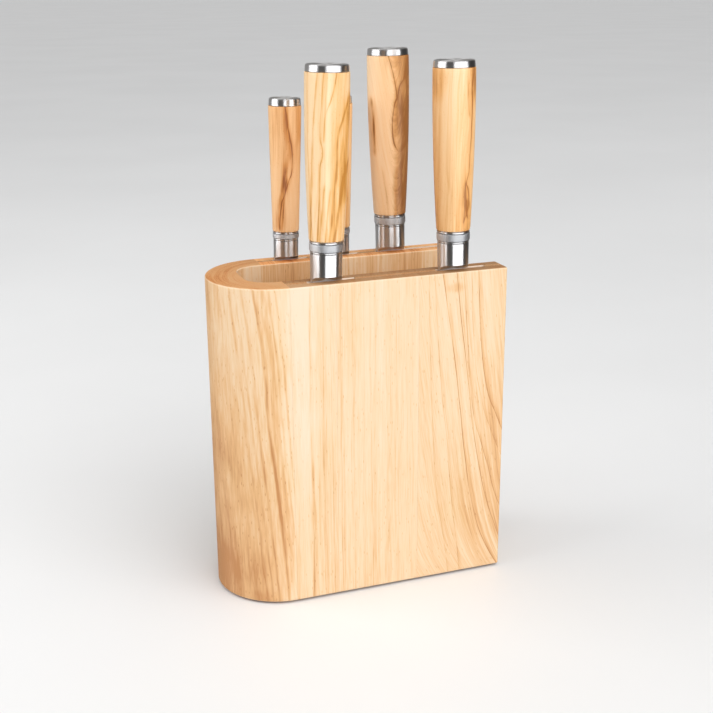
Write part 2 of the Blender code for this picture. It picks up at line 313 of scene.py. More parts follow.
class Nodes:
    """Adds nodes to a node tree."""

    def __init__(self, tree):
        self.tree = tree

    def put(self, node, key, value):
        if isinstance(value, Field):
            value = value.socket
        if isinstance(value, bpy.types.NodeSocket):
            self.tree.links.new(value, node.inputs[key])
        else:
            node.inputs[key].default_value = value

    def node(self, kind, inputs=None, **settings):
        made = self.tree.nodes.new("ShaderNode" + kind)
        for key, value in settings.items():
            setattr(made, key, value)
        for key, value in (inputs or {}).items():
            self.put(made, key, value)
        return made

    def number(self, kind, inputs, **settings):
        return Field(self, self.node(kind, inputs, **settings).outputs[0])

    def split(self, vector):
        made = self.node("SeparateXYZ", {0: vector})
        return [Field(self, socket) for socket in made.outputs]

    def join(self, x, y, z):
        return self.node("CombineXYZ", {0: x, 1: y, 2: z}).outputs[0]


class Graph(Nodes):
    """One material's nodes, round its Principled BSDF. Its random draws are numbered from its seed."""

    def __init__(self, name, seed=0):
        self.material = bpy.data.materials.new(name)
        self.material.use_nodes = True
        super().__init__(self.material.node_tree)
        self.shader = self.tree.nodes["Principled BSDF"]
        self.place = self.node("TexCoord")
        self.seed = seed

    def millimetres(self):
        """The piece's own x, y and z in millimetres."""
        own = self.place.outputs["Object"]
        return self.split(self.node("VectorMath", {0: own, "Scale": 1 / MM}, operation="SCALE").outputs[0])

    def normal(self):
        return self.split(self.place.outputs["Normal"])

    def stretched(self, vector, periods, draw):
        """The vector measured in periods, shifted by an amount of the draw's own."""
        rng = random.Random(self.seed + draw)
        shift = [rng.uniform(-LARGEST_SHIFT, LARGEST_SHIFT) for _ in range(3)]
        scale = [1.0 / period for period in periods]
        return self.node("VectorMath", {0: vector, 1: scale, 2: shift}, operation="MULTIPLY_ADD").outputs[0]

    def noise(self, vector, periods, draw, detail=2.0, roughness=0.5):
        """Smooth noise about 0, mostly within -0.3 to 0.3."""
        inputs = {"Vector": self.stretched(vector, periods, draw), "Scale": 1.0, "Detail": detail}
        inputs["Roughness"] = roughness
        return self.number("TexNoise", inputs) - 0.5

    def specks(self, vector, periods, draw, radius, share):
        """1 inside small ellipsoids in the cells of a jittered grid. share is how many cells have one."""
        cell = self.node("TexVoronoi", {"Vector": self.stretched(vector, periods, draw), "Scale": 1.0})
        distance = Field(self, cell.outputs["Distance"])
        chance = self.split(cell.outputs["Color"])[0]
        has_none = chance.above(share, share + 0.01)
        return (1.0 - distance.above(radius * SPECK_CORE, radius)) * (1.0 - has_none)

    def ramp(self, value, stops):
        made = self.node("ValToRGB", {0: value})
        elements = made.color_ramp.elements
        while len(elements) < len(stops):
            elements.new(0.5)
        for element, (position, colour) in zip(elements, stops):
            element.position = position
            element.color = (*colour, 1.0)
        return made.outputs[0]

    def curve(self, value, points):
        """A smooth curve through (in, out) points with rising ins; level beyond its ends."""
        first, last = points[0][0], points[-1][0]
        least = min(out for place, out in points)
        reach = max(out for place, out in points) - least
        share = (value - first) / (last - first)
        made = self.node("FloatCurve", {"Factor": 1.0, "Value": share.at_least(0.0).at_most(1.0)})
        line = made.mapping.curves[0]
        while len(line.points) < len(points):
            line.points.new(0.5, 0.5)
        for point, (place, out) in zip(line.points, points):
            point.location = ((place - first) / (last - first), (out - least) / reach)
        made.mapping.update()
        return Field(self, made.outputs[0]) * reach + least

    def mix(self, share, first, second, blend="MIX"):
        """A blend of two colours, which a Mix node takes in sockets 6 and 7 and gives in output 2."""
        inputs = {0: share, 6: first, 7: second}
        for key in (6, 7):
            if isinstance(inputs[key], tuple):
                inputs[key] = (*inputs[key], 1.0)
        return self.node("Mix", inputs, data_type="RGBA", blend_type=blend).outputs[2]

    def finish(self, colour, roughness, height=None, depth=0.0, metallic=0.0, **sockets):
        sockets.update({"Base_Color": colour, "Roughness": roughness, "Metallic": metallic})
        for key, value in sockets.items():
            self.put(self.shader, key.replace("_", " "), value)
        if height is not None:
            bump = self.node("Bump", {"Height": height, "Distance": depth, "Strength": 1.0})
            self.put(self.shader, "Normal", bump.outputs[0])
        return self.material


RUBBERWOOD_TONES = (
    (0.0, (0.815, 0.655, 0.485)),
    (0.33, (0.8, 0.58, 0.362)),
    (0.62, (0.73, 0.435, 0.208)),
    (1.0, (0.52, 0.24, 0.09)),
)
# How far each layer of its figure takes rubberwood along those tones.
BASE_SHADE = 0.3
BAND_SHADE, RING_SHADE, THIN_LINE_SHADE = 0.48, 0.42, 0.08
FIBRE_SHADE, CLOUD_SHADE, PORE_SHADE = 0.62, 0.22, 0.3
END_GRAIN_SHADE = 0.5
BESIDE_LINE_SHADE = 0.42
# Upright share of the surface's normal at which an edge's rim, and then end grain, begins. The rim is
# painted lighter: partly sanded wear, partly a painted highlight.
RIM_START, END_GRAIN_START, END_GRAIN_FULL = 0.08, 0.45, 0.95
END_GRAIN_TINT = (0.79, 0.57, 0.385)
GREENISH_TINT = (0.93, 0.95, 0.84)
# The rounded edges' rim colour: sanded wear together with a painted highlight.
WORN_RIM_AND_HIGHLIGHT_COLOUR = (0.9, 0.76, 0.56)
# Painted light: the slot walls that face the front are painted paler, as bright as the lit front face.
SLOT_WALL_PAINTED_LIGHT = (1.0, 0.86, 0.73)
SLOT_WALL_NEAR, SLOT_WALL_FAR = 2.6, 3.0
GREENISH_SHARE, SLOT_WALL_PAINTED_LIGHT_SHARE, WORN_RIM_AND_HIGHLIGHT_SHARE = 0.35, 0.85, 0.35
WOOD_SHINE = 0.28
MM_PER_TURN = 40.0
BEND_POWER = 8


def scaled(colour, factor):
    return tuple(factor * c for c in colour)


def board_marks(g, spot, radius, grain, tremble, rings, streaks, lines, patches):
    """How much a board's own marks darken it, one by one.

    streaks are (ring radius, half width, strength) of coloured bands. lines are (points of z and x, half
    width, strength) of single brown lines with a softer right side, on the front and back faces only.
    patches are (centre, half sizes, strength) of soft stains and of painted shade; below 0, strength
    makes a pale one.
    """
    x, z = spot[0], spot[2]
    broken = (0.8 + g.noise(grain, (1.1, 12, 45), 9, 2.0, 0.65) * 3.2).at_least(0.1)
    stray = g.noise(grain, (20, 30, 60), 10, 2.0)
    marks = []
    for centre, width, strength in streaks:
        marks.append((radius - centre + stray * width * 1.5).near(width) * broken * strength)
    on_face = g.normal()[1].size().above(0.2, 0.9)
    for points, width, strength in lines:
        offset = x - g.curve(z, points) + tremble * 1.3
        beside = (1.0 - offset.above(0.0, 9.0 * width)) * offset.above(-0.5 * width, 0.0)
        marks.append((offset.near(width) + beside * BESIDE_LINE_SHADE) * broken * on_face * strength)
    # Patches: stains, and also painted shade.
    for centre, sizes, strength in patches:
        away = [(here - there) / size for here, there, size in zip(spot, centre, sizes)]
        reach = (away[0] ** 2 + away[1] ** 2 + away[2] ** 2).root()
        inside = 1.0 - (reach + stray * 1.3).above(0.1, 1.0)
        marks.append(inside * (0.7 + rings * 2.0) * strength)
    return marks


def rubberwood(name, pith, seed, lean=(0.0, 0.0), bend=0.0, wander=2.0, streaks=(), lines=(), patches=(),
               tone=0.0, fall=0.12, side=1, pored=0.25, contrast=1.0, end=1.0):
    """Rubberwood with a clear satin finish. All lengths are in millimetres.

    pith is where the tree's heart crosses the block's top, lean how far it moves from top to bottom,
    bend how far it swings aside at the bottom, and side on which side of it the board lies. The growth
    rings lie round it and sway by wander. tone deepens the colour, and fall paints shade: how much
    deeper it is at the bottom, where less light falls. contrast is how strong the figure is, pored the
    share of places that have a pore, and end how light its sawn ends are drawn: painted light and
    shade on the block's top, set board by board. board_marks explains streaks, lines and patches.
    """
    g = Graph(name + "_rubberwood", seed)
    x, y, z = g.millimetres()
    here = g.join(x, y, z)
    depth = (TOP / MM - z) / (BLOCK_HEIGHT / MM)
    sway_x, sway_y = [g.noise(here, (60, 60, 190), draw, 1.0) * (2.0 * wander) for draw in (1, 2)]
    tremble = g.noise(here, (8, 8, 40), 3, 1.5) * 0.7
    across = x - pith[0] - lean[0] * depth + sway_x + tremble
    if bend:
        across = across - bend * depth ** BEND_POWER
    along = y - pith[1] - lean[1] * depth + sway_y
    radius = (across * across + along * along).root()
    round_it = g.number("Math", {0: along, 1: across * side}, operation="ARCTAN2") * MM_PER_TURN
    grain = g.join(radius, round_it, z)

    bands = g.noise(grain, (11, 70, 420), 4, 2.0)
    rings = g.noise(grain, (1.9, 24, 210), 5, 3.0, 0.62)
    fibres = g.noise(grain, (0.75, 1.4, 20), 6, 2.0, 0.62)
    thin_lines = (g.noise(grain, (5.0, 50, 320), 7, 1.5) - 0.07).near(0.035)
    clouds = g.noise(here, (38, 38, 80), 8, 2.0)
    pores = g.specks(grain, (1.1, 1.1, 6.5), 11, 0.24, pored)
    figure = bands * BAND_SHADE + rings * RING_SHADE + thin_lines * THIN_LINE_SHADE
    # fall paints shade, deeper towards the bottom.
    shade = BASE_SHADE + tone + (depth - 0.5) * fall + figure * contrast
    shade = shade + fibres * FIBRE_SHADE + clouds * CLOUD_SHADE
    for mark in board_marks(g, (x, y, z), radius, grain, tremble, rings, streaks, lines, patches):
        shade = shade + mark

    upright = g.normal()[2].size()
    end_grain = upright.above(END_GRAIN_START, END_GRAIN_FULL)
    rim = upright.above(RIM_START, END_GRAIN_START) * (1.0 - end_grain)
    shade = shade + end_grain * (rings * END_GRAIN_SHADE + bands * END_GRAIN_SHADE)
    colour = g.ramp(shade + pores * PORE_SHADE, RUBBERWOOD_TONES)
    greenish = clouds.above(0.0, 0.28) * GREENISH_SHARE
    colour = g.mix(greenish, colour, GREENISH_TINT, "MULTIPLY")
    # end paints light and shade on the sawn top, board by board.
    colour = g.mix(end_grain, colour, scaled(END_GRAIN_TINT, end), "MULTIPLY")
    # Painted light on the slot walls that face the front, which really lie in the slots' shade.
    from_slot = (y.size() - SLOT_Y / MM).size()
    painted_light_on_slot_wall = (1.0 - from_slot.above(SLOT_WALL_NEAR, SLOT_WALL_FAR)) * (-g.normal()[1]).above(0.5, 0.9)
    painted_light_on_slot_wall = painted_light_on_slot_wall * x.above(SEAM_X / MM - 0.1, SEAM_X / MM + 0.1)
    colour = g.mix(painted_light_on_slot_wall * SLOT_WALL_PAINTED_LIGHT_SHARE, colour, SLOT_WALL_PAINTED_LIGHT)
    # The rounded edges' rim is lighter, for sanded wear and for a painted highlight.
    colour = g.mix(rim * WORN_RIM_AND_HIGHLIGHT_SHARE, colour, WORN_RIM_AND_HIGHLIGHT_COLOUR)
    roughness = 0.46 + fibres * 0.25 + end_grain * 0.12 + pores * 0.15 - rim * 0.06
    height = fibres * 0.5 + rings * 0.3 - pores * 0.9
    return g.finish(colour, roughness, height, 0.06 * MM, Specular_IOR_Level=WOOD_SHINE)


# ---- olive wood: lengths are in millimetres
HANDLE_MIDDLE = 80.0
HANDLE_SPAN = 110.0
OLIVE_BASE_SHADE = 0.36
OLIVE_BAND_SHADE, OLIVE_RING_SHADE, OLIVE_LINE_SHADE = 1.25, 0.6, 0.22
OLIVE_FIBRE_SHADE, OLIVE_PORE_SHADE = 0.3, 0.12
# From pale to dark, the tones of four pieces of olive wood, and where each tone lies on their ramps.
OLIVE_STOPS = (0.0, 0.4, 0.7, 1.0)
CREAM = ((0.95, 0.77, 0.51), (0.88, 0.6, 0.33), (0.76, 0.4, 0.12), (0.52, 0.22, 0.035))
PINK = ((1.0, 0.76, 0.5), (0.93, 0.59, 0.31), (0.66, 0.33, 0.115), (0.34, 0.13, 0.03))
RED = ((0.98, 0.68, 0.41), (0.9, 0.53, 0.25), (0.67, 0.285, 0.075), (0.34, 0.1, 0.02))
ORANGE = ((0.96, 0.77, 0.52), (0.89, 0.57, 0.285), (0.75, 0.375, 0.12), (0.38, 0.14, 0.03))


def straight_figure(pith, lean=0.0, depth=8.0):
    """Grain that runs up the handle, leaning, in rings round a heart beside it."""
    def figure(x, y, z):
        across = x - pith - (z - HANDLE_MIDDLE) / HANDLE_SPAN * lean
        return (across * across + (y - depth) ** 2).root()
    return figure


def cathedral_figure(middle, half_width, pitch):
    """Nested U's that open upward: steep arms half_width aside of the middle."""
    def figure(x, y, z):
        share = (x - middle - y * 0.15).size() / half_width
        climb = share ** 3 / (share * share + 1.0) * 32.0
        return (z - climb) * pitch
    return figure


def handle_marks(g, x, y, z, ripple, veins, stains):
    """How much a handle's own veins and stains darken it, one by one.

    veins are (points of height and x, half width, strength), stains (x, height, half width, half height,
    strength).
    """
    fade = (0.85 + g.noise(g.join(x, y, z), (3, 3, 18), 7, 2.0) * 2.2).at_least(0.15)
    marks = []
    for points, width, strength in veins:
        offset = x + ripple * 0.7 - g.curve(z, points)
        first, last = points[0][0], points[-1][0]
        ease = 1.0 + 3.0 * width
        within = z.above(first - 1.0, first + ease) * (1.0 - z.above(last - ease, last + 3.0))
        marks.append((offset.near(width) + offset.near(width * 3.5) * 0.4) * within * fade * strength)
    for middle, height, wide, tall, strength in stains:
        reach = (((x - middle) / wide) ** 2 + ((z - height) / tall) ** 2).root() + ripple * 0.25
        marks.append((1.0 - reach.above(0.2, 1.0)) * y.size().above(0.0, 2.0) * fade * strength)
    return marks


def olive_wood(name, tones, seed, figure, wander=2.0, contrast=1.0, veins=(), stains=(), tone=0.0,
               fall=0.0, left=0.0, right=0.0):
    """Turned olive wood: wavy dark veins in a pale ground. All lengths are in millimetres.

    Its plan is turned so that -Y faces the viewer. figure gives the distance across the grain, which
    sways by wander. tone deepens the colour, and fall is how much deeper it is at the bottom. left and
    right paint shade: how much deeper it is towards those edges as the viewer sees them, where the
    turned handle turns away from the light; below 0 they paint it paler, as a painted highlight.
    handle_marks explains veins and stains.
    """
    g = Graph(name + "_olive_wood", seed)
    px, py, z = g.millimetres()
    cosine, sine = math.cos(VIEW_AZIMUTH), math.sin(VIEW_AZIMUTH)
    x = px * cosine + py * sine
    y = py * cosine - px * sine
    here = g.join(x, y, z)
    sway = g.noise(here, (26, 26, 60), 1, 1.5) * (2.0 * wander)
    ripple = g.noise(here, (6, 6, 22), 2, 1.5) * 1.1
    radius = figure(x + sway + ripple, y, z)
    grain = g.join(radius, y * 0.5, z)

    bands = g.noise(grain, (5.5, 30, 150), 3, 2.0)
    rings = g.noise(grain, (1.6, 22, 100), 4, 3.0, 0.62)
    thin_lines = (g.noise(grain, (4.2, 26, 130), 5, 1.5) - 0.04).near(0.05)
    fibres = g.noise(grain, (0.5, 0.9, 16), 6, 2.0, 0.6)
    pores = g.specks(grain, (0.9, 0.9, 3.2), 9, 0.24, 0.35)
    layers = bands * OLIVE_BAND_SHADE + rings * OLIVE_RING_SHADE + thin_lines * OLIVE_LINE_SHADE
    shade = OLIVE_BASE_SHADE + tone + layers * contrast + fibres * OLIVE_FIBRE_SHADE
    aside = x + sway * 0.5
    shade = shade + (HANDLE_MIDDLE - z) * (fall / HANDLE_SPAN)
    # Painted shade: deeper towards the handle's left and right edges as the viewer sees them.
    shade = shade + (-aside).above(-1.0, 13.0) * left + aside.above(-1.0, 14.0) * right
    for mark in handle_marks(g, x, y, z, ripple, veins, stains):
        shade = shade + mark
    colour = g.ramp(shade + pores * OLIVE_PORE_SHADE, tuple(zip(OLIVE_STOPS, tones)))
    roughness = 0.36 + fibres * 0.22 + pores * 0.1
    height = fibres * 0.6 - pores * 0.6
    return g.finish(colour, roughness, height, 0.04 * MM)


def turned_tangent(g, x, y):
    """The way reflections stretch on turned metal: across the marks, along the surface."""
    marks = g.join(-y, x, 0.0)
    across = g.node("VectorMath", {0: marks, 1: g.place.outputs["Normal"]}, operation="CROSS_PRODUCT")
    settings = {"vector_type": "VECTOR", "convert_from": "OBJECT", "convert_to": "WORLD"}
    return g.node("VectorTransform", {0: across.outputs[0]}, **settings).outputs[0]


def turned_steel(name, colour, roughness, seed, stretch, marks):
    """Steel finished on a lathe: fine marks round it, hair scratches and a few duller patches."""
    g = Graph(name, seed)
    x, y, z = g.millimetres()
    here = g.join(x, y, z)
    turning = g.noise(here, (30, 30, 0.22), 1, 3.0, 0.6)
    hairs = g.noise(here, (0.14, 5.0, 2.2), 2, 1.0).near(0.012)
    more_hairs = g.noise(here, (4.0, 0.15, 3.0), 3, 1.0).near(0.01)
    scratch = hairs + more_hairs
    dull = g.noise(here, (7, 7, 9), 4, 2.0).above(-0.05, 0.25)
    worn = (dull * 0.25 + turning * 0.5 + scratch * 0.1).at_least(0.0)
    tint = g.mix(worn, colour, scaled(colour, 0.8))
    rough = roughness + turning * 0.1 + scratch * 0.03 + dull * 0.05
    sockets = {"Anisotropic": stretch, "Tangent": turned_tangent(g, x, y)}
    return g.finish(tint, rough, turning * marks + scratch * 0.2, 0.005 * MM, 1.0, **sockets)


def brushed_steel(name, colour, roughness, seed, lines):
    """A blade's satin: brushed along lines, given as periods in mm along x, y and z."""
    g = Graph(name, seed)
    here = g.join(*g.millimetres())
    brushed = g.noise(here, lines, 1, 3.0, 0.65)
    coarse = g.noise(here, scaled(lines, 3.0), 2, 2.0)
    cloud = g.noise(here, (6, 6, 8), 3, 2.0)
    lightness = (brushed * 1.2 + cloud * 0.8 + 0.5).above(0.0, 1.0)
    tint = g.mix(lightness, scaled(colour, 0.86), colour)
    rough = roughness + brushed * 0.18 + coarse * 0.1 + cloud * 0.06
    return g.finish(tint, rough, brushed + coarse * 0.5, 0.01 * MM, 1.0)


def black_rubber(name):
    g = Graph(name)
    here = g.join(*g.millimetres())
    grainy = g.noise(here, (0.5, 0.5, 0.5), 5, 3.0)
    dust = g.noise(here, (4, 4, 2), 6, 2.0).above(0.0, 0.3)
    colour = g.mix(dust * 0.4, (0.022, 0.022, 0.023), (0.06, 0.057, 0.052))
    return g.finish(colour, 0.78 + grainy * 0.2, grainy, 0.04 * MM)


# ======== the block
# Single brown lines on the right front stave, for board_marks, each from bottom to top.
CATHEDRAL_LINES = (
    (((0, 101.5), (20, 89.8), (40, 82.2), (62, 76.8), (92, 71.8), (132, 66.8), (162, 62.8), (192, 58.3),
      (230, 52)), 0.55, 0.62),
    (((20, 103), (30, 98.8), (56, 89.8), (76, 84.8), (96, 80.8), (118, 76.8), (152, 72.8), (172, 69.8),
      (230, 62.5)), 0.5, 0.5),
    (((44, 104), (62, 95.8), (84, 89.8), (104, 83.8), (120, 78.8), (150, 74.5), (190, 71), (230, 68)),
     0.45, 0.42),
    (((100, 105), (112, 99.8), (124, 94.8), (136, 89.8), (152, 85.8), (180, 82.2), (230, 79)), 0.5, 0.5),
    (((0, 69), (22, 66.8), (52, 62.8), (80, 59.8), (112, 56.8), (144, 52.8), (230, 46)), 0.4, 0.3),
    (((0, 60), (32, 55.8), (68, 49.8), (120, 46), (230, 42)), 0.4, 0.24),
    (((84, 104), (110, 92), (134, 84), (170, 77.5), (230, 74)), 0.4, 0.26),
)
# The same on the left front stave and the middle one: nearly straight.
LEFT_LINES = (
    (((0, -44.5), (60, -43.2), (160, -43.8), (230, -42.5)), 1.6, 0.32),
    (((0, -35.5), (110, -35.2), (230, -34)), 0.5, 0.2),
    (((0, -28), (150, -29), (230, -29.4)), 0.5, 0.18),
)
MIDDLE_LINES = (
    (((0, -21.2), (110, -22.2), (230, -21)), 0.5, 0.22),
    (((0, -12.5), (120, -13.2), (230, -13.8)), 0.6, 0.16),
    (((0, 1.5), (140, -0.5), (230, -1.5)), 0.9, 0.16),
    (((0, 21), (140, 19.2), (230, 17.5)), 0.5, 0.14),
)
# Streaks of the end block, and patches of the end block and the outer front staves, for board_marks.
# Most patches are stains; the end block's broadest, centred beyond its lower left, is painted shade.
END_STREAKS = (
    (47, 0.7, 0.46), (45.4, 1.6, 0.26), (49.6, 0.5, 0.3), (42.6, 0.5, 0.28), (40.2, 0.5, 0.2),
    (52.2, 0.45, 0.24), (51, 0.4, 0.18), (44, 0.4, 0.26), (38.2, 0.5, 0.14),
)
END_PATCHES = (
    ((-92, -30, 20), (8, 9, 7), 0.14), ((-85, -36, 6), (8, 9, 6), 0.14), ((-99, -14, 96), (9, 16, 24), 0.1),
    # The first patch on this line is painted shade, darkening the end block's lower left.
    ((-122, -4, -40), (62, 76, 260), 0.7), ((-62, -44, 225), (14, 20, 130), -0.14),
    ((-51, -50, 110), (16, 22, 270), -0.5), ((-105, -4, 205), (15, 40, 110), 0.34),
    ((-57, -48, 8), (15, 20, 75), -0.36),
)
LEFT_PATCHES = (((-47, -45, 200), (17, 40, 170), -0.34),)
RIGHT_PATCHES = (((61, -45, 219), (11, 14, 5), 0.3), ((94, -45, 70), (26, 120, 150), 0.36))


def build_block():
    half_glue = (CAD_GAP - GLUE_LINE) / 2
    # On the end block, fall and its broadest patch paint shade over its lower part.
    end_block(rubberwood(
        "end_block", (-44, -8), 10, lean=(4.5, 4.6), wander=1.2, side=-1, tone=0.15, fall=0.34,
        pored=0.45, contrast=0.62, streaks=END_STREAKS, patches=END_PATCHES,
    ))
    # Each board's end paints light and shade on its top: lightest on the back wall, darker towards the right
    # in front.
    front_woods = {
        "left": rubberwood("front_left", (-140, -60), 20, lean=(3, 0), tone=-0.05, fall=0.2,
                           end=0.8, lines=LEFT_LINES, patches=LEFT_PATCHES),
        "middle": rubberwood("front_middle", (-170, -20), 30, wander=1.2, fall=0.16, end=0.7,
                             lines=MIDDLE_LINES),
        "right": rubberwood("front_right", (-120, -40), 40, lean=(30, 0), bend=14.0, tone=0.07,
                            fall=0.12, end=0.64, contrast=0.8, lines=CATHEDRAL_LINES, patches=RIGHT_PATCHES),
    }
    back_woods = {
        "left": rubberwood("back_left", (150, 60), 50, lean=(-12, 0), side=-1, end=1.36),
        "middle": rubberwood("back_middle", (-170, 30), 60, lean=(6, 0), end=1.36),
        "right": rubberwood("back_right", (190, 30), 70, lean=(10, 0), side=-1, end=1.36),
    }
    panels = {
        "front": rubberwood("front_panel", (-180, 0), 80, wander=1.5, tone=0.06, end=0.62),
        "back": rubberwood("back_panel", (-180, 40), 90, wander=1.5, tone=0.25, contrast=2.0,
                           end=1.35),
    }
    strips = rubberwood("strip", (-160, 0), 100, tone=0.04, end=0.85)
    for wall, outer, inner in (("front", "front", "back"), ("back", "back", "front")):
        woods = front_woods if wall == "front" else back_woods
        for side in ("left", "middle"):
            board(f"{wall}_stave_{side}", woods[side], {outer}, {"left": half_glue, "right": half_glue})
        board(f"{wall}_stave_right", woods["right"], {outer, "right"}, {"left": half_glue})
        board(f"{wall}_inner_panel", panels[wall], {inner, "right"}, {"left": half_glue})
        spacers = sorted(n for n in frame["nodes"] if n.startswith(f"{wall}_spacer"))
        thick = CAD_GAP - GLUE_LINE
        for node in spacers:
            bare = {"right"} if node == spacers[-1] else set()
            grow = {"front": thick, "back": thick}
            if node == spacers[0]:
                grow["left"] = half_glue
            board(node, strips, bare, grow)
        rail = frame["nodes"][f"{wall}_slot_rail"]
        rail.data.materials.clear()
        rail.data.materials.append(strips)
    floor_panel(rubberwood("floor", (0, -160), 110, tone=0.06))
    rubber = black_rubber("moulded_rubber")
    for node in sorted(n for n in frame["nodes"] if n.startswith("foot_")):
        rubber_foot(node, rubber)


# ======== the knives
def knife_frame(name):
    """The knife's own axes: z up its axis, with its origin where that axis crosses the block's top."""
    axis = Vector(next(j["axis"] for j in frame["joints"] if j["child"] == name + "_knife"))
    low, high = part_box(name + "_lower_ring")
    centre = (low + high) / 2
    origin = centre + axis * ((TOP - centre.z) / axis.z)
    lean = math.atan2(axis.x, axis.z)
    return Matrix.Translation(origin) @ Matrix.Rotation(lean, 4, "Y")


def spans(name, matrix):
    """Each part's lowest and highest point up the knife, and its radius.

    handle_base is the handle's radius at its base, and cap_base is where the end cap widens.
    """
    back = matrix.inverted()
    found = {}
    for part in ("blade", "lower_ring", "collar", "upper_ring", "handle", "end_cap"):
        points = [back @ v.co for v in frame["nodes"][f"{name}_{part}"].data.vertices]
        heights = [p.z for p in points]
        found[part] = (min(heights), max(heights), max(abs(p.y) for p in points))
        if part == "handle":
            near_base = found[part][0] + 0.1 * MM
            found["handle_base"] = max(math.hypot(p.x, p.y) for p in points if p.z < near_base)
        if part == "end_cap":
            wide = 0.9 * found[part][2]
            found["cap_base"] = min(p.z for p in points if math.hypot(p.x, p.y) > wide)
    return found


# A knife's name, its own axes, and what spans finds.
Knife = namedtuple("Knife", "name matrix found")
# A bolster's sizes in mm: scoop is how high its foot is cut away, and blade is the blade's thickness.
Forging = namedtuple("Forging", "bolster_top bolster foot scoop blade tang")
FORGINGS = {
    "large": Forging(19.3, 10.8, 10.6, 4.5, 2.2, 4.0),
    "small": Forging(14.7, 8.85, 8.7, 3.6, 1.6, 4.0),
}
# Widths in mm. The spine is straight for spine_run of the length, then falls by drop to the tip. The edge
# stays low for longer when belly is high. bevel is the ground strip's width.
Blade = namedtuple("Blade", "size width spine_run drop belly bevel teeth")
BLADES = {
    "carving": Blade("large", 28, 0.72, 9, 5.0, 9, 0),
    "bread": Blade("large", 30, 0.9, 9, 16.0, 8, 22),
    "chef": Blade("large", 45, 0.5, 15, 2.8, 14, 0),
    "utility": Blade("small", 22.5, 0.65, 7, 3.6, 7, 0),
    "paring": Blade("small", 20.5, 0.55, 6, 2.6, 6.5, 0),
}
HEEL_Z = -9.0
NECK_Z = -5.0
NECK_INSET = 1.2
TOOTH_DEPTH = 0.8
TOOTHED_SHARE = 0.97
TIP_WIDTH = 0.8
EDGE_HALF = 0.06
SPINE_EASE = 0.2
STATIONS = 72
STATIONS_PER_TOOTH = 8
STATION_CROWDING = 1.6
SCOOP_STEPS = 14


def blade_outline(shape, share):
    """The spine's and the edge's x, in mm, at a share of the way from the heel to the tip."""
    spine = NECK_INSET - FORGINGS[shape.size].foot
    tip = spine + shape.drop
    heel = spine + shape.width
    drop = max(0.0, share - shape.spine_run) / (1 - shape.spine_run)
    edge = tip + (heel - tip) * (1 - share ** shape.belly)
    if shape.teeth and share < TOOTHED_SHARE:
        edge -= TOOTH_DEPTH * abs(math.sin(math.pi * shape.teeth * share))
    return spine + (tip - spine) * drop ** 2, edge


def section(spine, bevel, edge, half, edge_half, ease=SPINE_EASE):
    """Half of a blade's section, from the middle of the spine round one face to the edge."""
    halfway = ((bevel + edge) / 2, (half + edge_half) / 2)
    return [(spine, half - ease), (spine + ease, half), (bevel, half), halfway, (edge, edge_half)]


def blade_mesh(shape, tip_z, tang_z):
    """The flat steel: tang, neck, heel and blade as sections down to the tip."""
    forging = FORGINGS[shape.size]
    half, tang = forging.blade / 2, forging.tang
    blunt = half * 0.8
    neck = forging.foot - NECK_INSET
    shoulder = forging.scoop + 3
    rows = [
        (tang_z, section(-tang, 0, tang, half, blunt)),
        (shoulder, section(-tang, 0, tang, half, blunt)),
        (shoulder - 1, section(-neck, 0, neck, half, blunt)),
        (NECK_Z, section(-neck, neck * 0.5, neck, half, blunt)),
    ]
    steps = shape.teeth * STATIONS_PER_TOOTH or STATIONS
    for i in range(steps + 1):
        share = i / steps if shape.teeth else 1 - (1 - i / steps) ** STATION_CROWDING
        spine, edge = blade_outline(shape, share)
        edge = max(edge, spine + TIP_WIDTH)
        width = edge - spine
        thin = half * min(1.0, width / 6)
        bevel = edge - min(shape.bevel, 0.6 * width)
        z = HEEL_Z + share * (tip_z - HEEL_Z)
        rows.append((z, section(spine, bevel, edge, thin, EDGE_HALF, min(SPINE_EASE, thin / 3))))
    bm = bmesh.new()
    made = []
    for z, points in rows[::-1]:
        whole = points + [(x, -y) for x, y in points[::-1]]
        made.append([bm.verts.new(Vector((x, y, z)) * MM) for x, y in whole])
    solid_skin(bm, made)
    return bm


def bolster_mesh(forging):
    """A bolster that swells from its foot to a rounded rim."""
    foot, radius, top = forging.foot, forging.bolster, forging.bolster_top
    profile = [(0, 0), (foot, 0), (foot + 0.1, 2), (radius - 0.1, top - 6), (radius, top - 0.5)]
    profile += [(radius - 0.15, top - 0.15), (radius - 0.5, top), (0, top)]
    return turned([(r * MM, z * MM) for r, z in profile])


def scoop_mesh(forging, side):
    """What is cut away from one face of the bolster's foot: a quarter of an oval, run right across."""
    inner = forging.blade / 2 + 0.3
    outer = forging.foot + 4
    below = -1.0
    profile = [(inner, below)]
    for i in range(SCOOP_STEPS + 1):
        angle = math.pi / 2 * i / SCOOP_STEPS
        out = inner + (forging.foot - inner) * (1 - math.cos(angle))
        profile.append((out, forging.scoop * math.sin(angle)))
    profile += [(outer, forging.scoop), (outer, below)]
    bm = bmesh.new()
    rows = [[bm.verts.new(Vector((x, side * y, z)) * MM) for y, z in profile] for x in (-20, 20)]
    solid_skin(bm, rows)
    return bm


def combined(base, others):
    """The base's mesh after a Boolean with each (object, operation). The objects are removed."""
    for other, operation in others:
        step = base.modifiers.new("step", "BOOLEAN")
        step.operation = operation
        step.solver = "EXACT"
        step.object = other
    bpy.context.view_layer.update()
    evaluated = base.evaluated_get(bpy.context.evaluated_depsgraph_get())
    bm = bmesh.new()
    bm.from_mesh(bpy.data.meshes.new_from_object(evaluated))
    for made in [base] + [other for other, operation in others]:
        bpy.data.objects.remove(made)
    return bm


